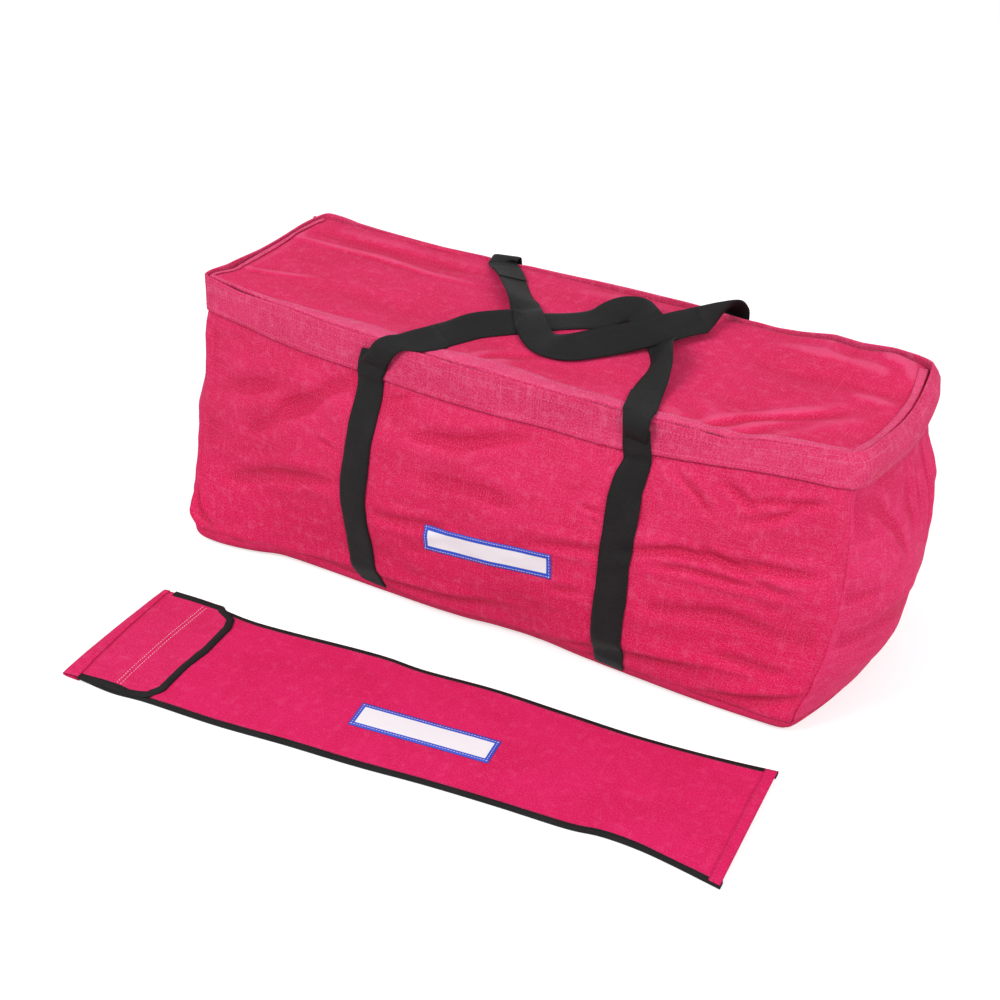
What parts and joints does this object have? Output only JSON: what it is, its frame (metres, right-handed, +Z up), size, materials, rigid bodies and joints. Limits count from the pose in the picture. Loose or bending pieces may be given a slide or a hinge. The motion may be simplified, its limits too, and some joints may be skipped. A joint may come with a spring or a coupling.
{
  "type": "gear bag set",
  "caption": "Box-shaped canvas gear bag with a zipped lid, webbing girth straps and two carrying loops, beside a flat canvas pouch with a flap",
  "frame": {"origin": "middle of the bag's base, on the ground", "axes": "+X along the bag's length, +Y towards the rear wall that carries the lid, +Z up"},
  "size_m": [1.0016, 0.7142, 0.3484],
  "materials": {
    "canvas": "ripstop canvas",
    "band_canvas": "doubled ripstop canvas",
    "pouch_canvas": "ripstop canvas",
    "webbing": "ribbed polypropylene webbing",
    "binding": "folded grosgrain tape",
    "zip_tape": "woven zip tape",
    "zip_coil": "moulded coil",
    "slider_metal": "black enamel",
    "label": "woven patch",
    "hook_tape": "hook and loop tape"
  },
  "bodies": {
    "bag": {"base_panel": "canvas", "front_wall": "canvas", "right_end_wall": "canvas", "rear_wall": "canvas", "left_end_wall": "canvas", "rim_band": "band_canvas", "base_seam_binding": "binding", "corner_seam_bindings": "binding", "left_girth_strap": "webbing", "right_girth_strap": "webbing", "rear_strap_turns": "webbing", "front_label": "label", "body_zip_tape": "zip_tape", "body_zip_coil": "zip_coil", "zip_end_stops": "slider_metal"},
    "lid": {"lid_panel": "canvas", "lid_rear_roll": "canvas", "lid_zip_guard": "band_canvas", "lid_zip_tape": "zip_tape", "lid_zip_coil": "zip_coil"},
    "front_zip_slider": {"front_slider": "slider_metal"},
    "front_zip_tab": {"front_pull_tab": "slider_metal"},
    "left_zip_slider": {"left_slider": "slider_metal"},
    "left_zip_tab": {"left_pull_tab": "slider_metal"},
    "front_carry_handle": {"front_handle": "webbing", "front_handle_splice": "webbing"},
    "rear_carry_handle": {"rear_handle": "webbing", "rear_handle_splice": "webbing"},
    "pouch": {"pouch_back_panel": "pouch_canvas", "pouch_front_panel": "pouch_canvas", "pouch_front_binding": "binding", "pouch_rear_binding": "binding", "pouch_end_hem": "pouch_canvas", "pouch_mouth_hem": "pouch_canvas", "pouch_loop_strip": "hook_tape", "pouch_label": "label", "flap_fold": "pouch_canvas"},
    "pouch_flap": {"flap_panel": "pouch_canvas", "flap_binding": "binding", "flap_hook_strip": "hook_tape"}
  },
  "joints": [
    {"name": "lid_hinge", "type": "hinge", "parent": "bag", "child": "lid", "pos_m": [0, 0.1382, 0.3322], "axis": [-1, 0, 0], "range_deg": [0, 100], "deforming": ["front_handle", "front_handle_splice", "rear_strap_turns"]},
    {"name": "front_handle_lift", "type": "hinge", "parent": "bag", "child": "front_carry_handle", "pos_m": [0, -0.148, 0.3384], "axis": [1, 0, 0], "range_deg": [0, 235]},
    {"name": "rear_handle_lift", "type": "hinge", "parent": "lid", "child": "rear_carry_handle", "pos_m": [0, 0.1332, 0.34], "axis": [-1, 0, 0], "range_deg": [0, 110], "deforming": ["rear_strap_turns"]},
    {"name": "front_slider_travel", "type": "hinge", "parent": "bag", "child": "front_zip_slider", "pos_m": [0, 2.06057, 0.322], "axis": [0, 0, 1], "range_deg": [0, 20]},
    {"name": "front_tab_swing", "type": "hinge", "parent": "front_zip_slider", "child": "front_zip_tab", "pos_m": [-0.37902, -0.09371, 0.327], "axis": [0.1733, 0.9849, 0], "range_deg": [0, 150], "deforming": ["lid_zip_guard"]},
    {"name": "left_slider_travel", "type": "slide", "parent": "bag", "child": "left_zip_slider", "axis": [0, 1, 0], "range_m": [0, 0.12]},
    {"name": "left_tab_swing", "type": "hinge", "parent": "left_zip_slider", "child": "left_zip_tab", "pos_m": [-0.4308, -0.032, 0.327], "axis": [-1, 0, 0], "range_deg": [0, 150], "deforming": ["lid_zip_guard"]},
    {"name": "pouch_lift", "type": "slide", "parent": "bag", "child": "pouch", "axis": [0, 0, 1], "range_m": [0, 0.3]},
    {"name": "flap_hinge", "type": "hinge", "parent": "pouch", "child": "pouch_flap", "pos_m": [-0.35846, -0.41921, 0.00792], "axis": [0.0872, -0.9962, 0], "range_deg": [0, 178], "deforming": ["flap_fold"]}
  ]
}
